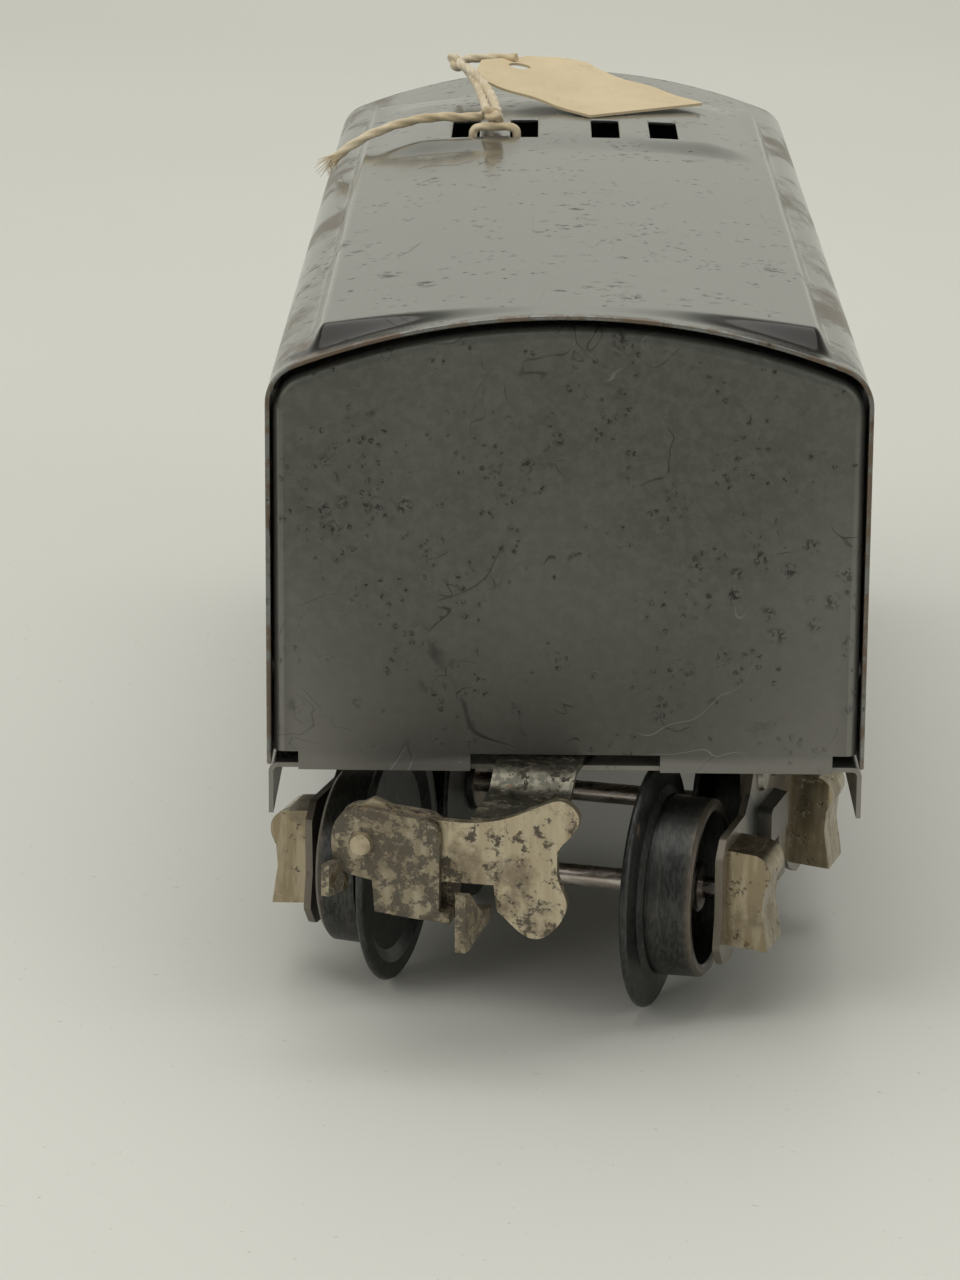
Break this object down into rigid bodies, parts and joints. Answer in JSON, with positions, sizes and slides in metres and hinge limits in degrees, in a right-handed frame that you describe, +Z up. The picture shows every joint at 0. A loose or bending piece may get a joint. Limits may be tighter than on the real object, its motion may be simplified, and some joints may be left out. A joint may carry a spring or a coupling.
{
  "type": "model railway car",
  "caption": "Windowless tinplate railway car with an arched roof, two swivelling four-wheel trucks and a swinging latch coupler at each end.",
  "frame": {"origin": "on the floor, under the middle of the car, level with the bottoms of the wheel flanges", "axes": "X across the car, Y along it with the rear end at -Y, Z up"},
  "size_m": [0.0644, 0.2289, 0.0821],
  "materials": {
    "blackened_wheel": "blackened metal with turning marks",
    "bright_steel": "polished steel",
    "cotton_string": "twisted cotton",
    "end_plate_lacquer": "satin gunmetal lacquer with blotches",
    "frame_enamel": "worn dark enamel",
    "manila_card": "buff card",
    "nickel": "worn nickel plate with rust spots",
    "rivet_steel": "dull steel",
    "shell_lacquer": "glossy gunmetal lacquer, scratched and chipped",
    "truck_blacking": "worn black finish",
    "worn_nickel": "pitted and stained nickel plate"
  },
  "bodies": {
    "car": {"body_shell": "shell_lacquer", "end_plate_rivets": "rivet_steel", "frame_deck": "frame_enamel", "front_coupler_pivot": "rivet_steel", "front_end_plate": "end_plate_lacquer", "front_kingpin": "rivet_steel", "front_retaining_clip": "rivet_steel", "rear_coupler_pivot": "rivet_steel", "rear_end_plate": "end_plate_lacquer", "rear_kingpin": "rivet_steel", "rear_retaining_clip": "rivet_steel", "tag_card": "manila_card", "tag_string_first": "cotton_string", "tag_string_loop": "cotton_string", "tag_string_lower_knot": "cotton_string", "tag_string_second": "cotton_string", "tag_string_upper_knot": "cotton_string"},
    "rear_truck": {"rear_truck_bolster": "truck_blacking", "rear_truck_left_inner_journal": "nickel", "rear_truck_left_outer_journal": "nickel", "rear_truck_left_side_frame": "truck_blacking", "rear_truck_right_inner_journal": "nickel", "rear_truck_right_outer_journal": "nickel", "rear_truck_right_side_frame": "truck_blacking", "rear_truck_rivets": "rivet_steel"},
    "rear_outer_wheelset": {"rear_truck_outer_axle": "bright_steel", "rear_truck_outer_left_wheel": "blackened_wheel", "rear_truck_outer_right_wheel": "blackened_wheel"},
    "rear_inner_wheelset": {"rear_truck_inner_axle": "bright_steel", "rear_truck_inner_left_wheel": "blackened_wheel", "rear_truck_inner_right_wheel": "blackened_wheel"},
    "rear_coupler": {"rear_coupler_strap": "worn_nickel", "rear_coupler_head": "worn_nickel", "rear_latch_rivet": "worn_nickel"},
    "rear_latch": {"rear_coupler_latch": "worn_nickel"},
    "front_truck": {"front_truck_bolster": "truck_blacking", "front_truck_left_inner_journal": "nickel", "front_truck_left_outer_journal": "nickel", "front_truck_left_side_frame": "truck_blacking", "front_truck_right_inner_journal": "nickel", "front_truck_right_outer_journal": "nickel", "front_truck_right_side_frame": "truck_blacking", "front_truck_rivets": "rivet_steel"},
    "front_outer_wheelset": {"front_truck_outer_axle": "bright_steel", "front_truck_outer_left_wheel": "blackened_wheel", "front_truck_outer_right_wheel": "blackened_wheel"},
    "front_inner_wheelset": {"front_truck_inner_axle": "bright_steel", "front_truck_inner_left_wheel": "blackened_wheel", "front_truck_inner_right_wheel": "blackened_wheel"},
    "front_coupler": {"front_coupler_strap": "worn_nickel", "front_coupler_head": "worn_nickel", "front_latch_rivet": "worn_nickel"},
    "front_latch": {"front_coupler_latch": "worn_nickel"}
  },
  "joints": [
    {"name": "rear_truck_swivel", "type": "hinge", "parent": "car", "child": "rear_truck", "pos_m": [0, -0.07, 0.026], "axis": [0, 0, 1], "range_deg": [-9, 41]},
    {"name": "front_truck_swivel", "type": "hinge", "parent": "car", "child": "front_truck", "pos_m": [0, 0.07, 0.026], "axis": [0, 0, 1], "range_deg": [-25, 25]},
    {"name": "rear_outer_wheelset_spin", "type": "hinge", "parent": "rear_truck", "child": "rear_outer_wheelset", "pos_m": [-0.00422, -0.08471, 0.01355], "axis": [0.9613, -0.2756, 0], "continuous": true},
    {"name": "front_outer_wheelset_spin", "type": "hinge", "parent": "front_truck", "child": "front_outer_wheelset", "pos_m": [0, 0.0853, 0.01355], "axis": [1, 0, 0], "continuous": true},
    {"name": "rear_inner_wheelset_spin", "type": "hinge", "parent": "rear_truck", "child": "rear_inner_wheelset", "pos_m": [0.00422, -0.05529, 0.01355], "axis": [0.9613, -0.2756, 0], "continuous": true},
    {"name": "front_inner_wheelset_spin", "type": "hinge", "parent": "front_truck", "child": "front_inner_wheelset", "pos_m": [0, 0.0547, 0.01355], "axis": [1, 0, 0], "continuous": true},
    {"name": "rear_coupler_swing", "type": "hinge", "parent": "car", "child": "rear_coupler", "pos_m": [0, -0.0806, 0.0285], "axis": [0, 0, 1], "range_deg": [-9, 31]},
    {"name": "front_coupler_swing", "type": "hinge", "parent": "car", "child": "front_coupler", "pos_m": [0, 0.0806, 0.0285], "axis": [0, 0, 1], "range_deg": [-20, 20]},
    {"name": "rear_latch_lift", "type": "hinge", "parent": "rear_coupler", "child": "rear_latch", "pos_m": [-0.02087, -0.107, 0.0238], "axis": [-0.1908, -0.9816, 0], "range_deg": [0, 5]},
    {"name": "front_latch_lift", "type": "hinge", "parent": "front_coupler", "child": "front_latch", "pos_m": [0.01545, 0.1105, 0.0238], "axis": [0, 1, 0], "range_deg": [0, 5]}
  ]
}
